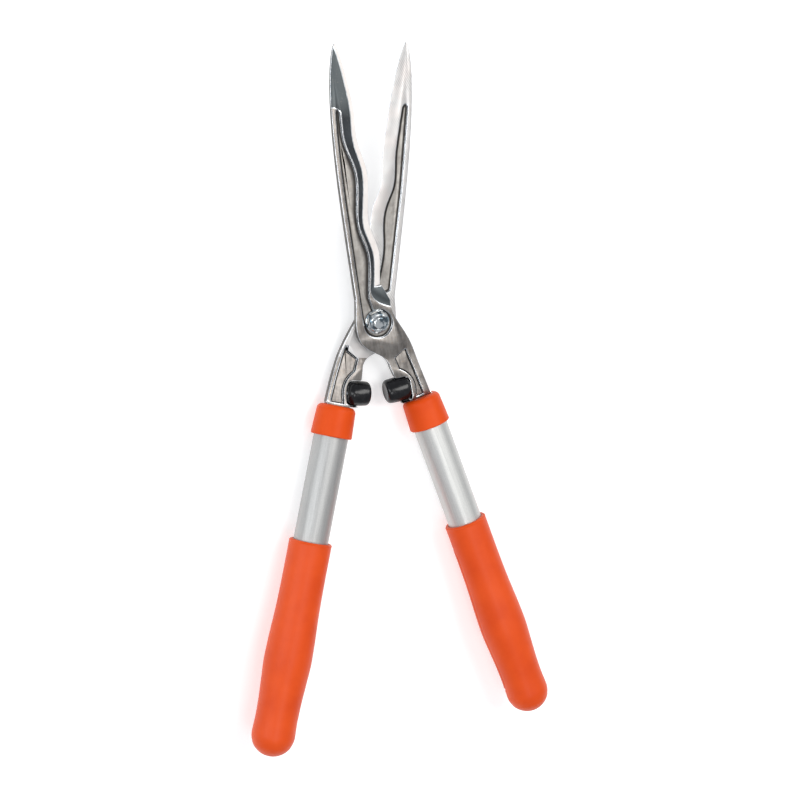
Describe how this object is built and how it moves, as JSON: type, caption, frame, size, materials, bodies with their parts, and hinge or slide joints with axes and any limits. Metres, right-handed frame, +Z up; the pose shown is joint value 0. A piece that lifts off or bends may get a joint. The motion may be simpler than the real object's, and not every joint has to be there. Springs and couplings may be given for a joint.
{
  "type": "hedge shears",
  "caption": "Hand hedge shears with wavy forged blades crossed on a pivot bolt, rubber buffers, aluminium tube handles and moulded grips.",
  "frame": {"origin": "centre of the bounding box, on the ground that the shears lie on", "axes": "+Z up, +Y along the closed centre line towards the blade tips, +X towards the handle of the front half"},
  "size_m": [0.2548, 0.5526, 0.0532],
  "materials": {
    "forged_steel": "forged and ground, satin",
    "tube_aluminium": "satin anodised",
    "orange_plastic": "fine moulded texture",
    "sleeve_plastic": "moulded",
    "black_rubber": "smooth moulded rubber",
    "zinc_steel": "bright zinc plate",
    "pin_steel": "oiled",
    "bronze": "sintered bronze"
  },
  "bodies": {
    "rear_half": {"rear_blade": "forged_steel", "rear_tube": "tube_aluminium", "rear_tang_sleeve": "sleeve_plastic", "rear_tang_pin": "pin_steel", "rear_collar": "orange_plastic", "rear_grip": "orange_plastic", "rear_buffer": "black_rubber", "rear_buffer_stud": "pin_steel", "pivot_bolt": "zinc_steel", "pivot_nut": "zinc_steel", "pivot_bush": "bronze", "friction_shim": "bronze", "front_washer": "zinc_steel", "spring_washer": "pin_steel", "rear_washer": "zinc_steel"},
    "front_half": {"front_blade": "forged_steel", "front_tube": "tube_aluminium", "front_tang_sleeve": "sleeve_plastic", "front_tang_pin": "pin_steel", "front_collar": "orange_plastic", "front_grip": "orange_plastic", "front_buffer": "black_rubber", "front_buffer_stud": "pin_steel"}
  },
  "joints": [
    {"name": "pivot", "type": "hinge", "parent": "rear_half", "child": "front_half", "pos_m": [0, 0.06169, 0.01824], "axis": [0, -0.1207, 0.9927], "range_deg": [-13, 30]}
  ]
}
